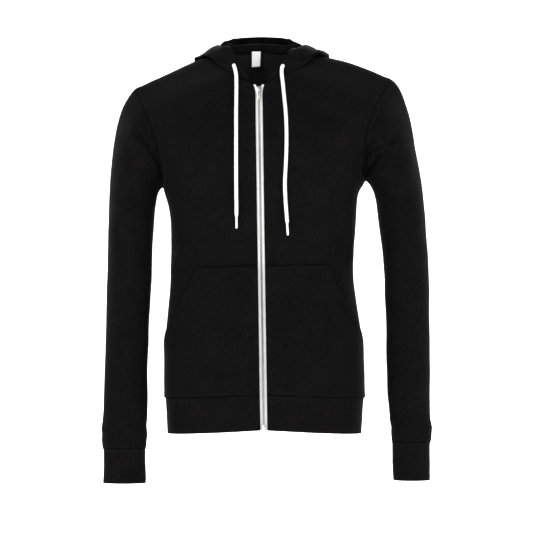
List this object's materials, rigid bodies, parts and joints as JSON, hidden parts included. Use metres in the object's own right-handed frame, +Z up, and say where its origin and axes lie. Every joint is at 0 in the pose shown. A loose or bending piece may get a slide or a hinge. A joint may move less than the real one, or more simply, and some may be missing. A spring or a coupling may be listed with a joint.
{
  "type": "zip up hoodie",
  "caption": "Black fleece zip up hoodie with white drawcords, white zip tape and slanted front pockets, filled out and hollow.",
  "frame": {"origin": "Inside the neck, on its middle line, level with the tops of the shoulders, where the shoulders of a wearer or a hanger carry the garment.", "axes": "+Z runs up the body from the hem to the hood and is the longest way; +Y runs from the zipped front to the back, where the hood hangs, and is the shortest way; +X is the wearer's left. The front faces -Y."},
  "size_m": [0.5905, 0.2673, 0.8089],
  "materials": {
    "fleece": "matte brushed cotton fleece, near black",
    "band_fabric": "matte self fabric folded double, near black",
    "tape": "white woven zip tape",
    "cord": "white flat braided cord",
    "label": "bare white satin label",
    "nickel": "polished nickel"
  },
  "bodies": {
    "garment": {"front_right": "fleece", "front_left": "fleece", "back": "fleece", "sleeve_right": "fleece", "sleeve_left": "fleece", "cuff_right": "band_fabric", "cuff_left": "band_fabric", "waistband": "band_fabric", "hood_right": "fleece", "hood_left": "fleece", "pocket_right": "fleece", "pocket_left": "fleece", "zip_tape_right": "tape", "zip_tape_left": "tape", "zip_slider": "nickel", "zip_box": "nickel", "neck_label": "label", "drawcord_right": "cord", "drawcord_left": "cord"},
    "pull_tab": {"zip_pull": "nickel"}
  },
  "joints": [
    {"name": "pull_swing", "type": "hinge", "parent": "garment", "child": "pull_tab", "pos_m": [-0.00985, -0.08598, -0.06006], "axis": [-1, 0, 0], "range_deg": [0, 150]}
  ]
}
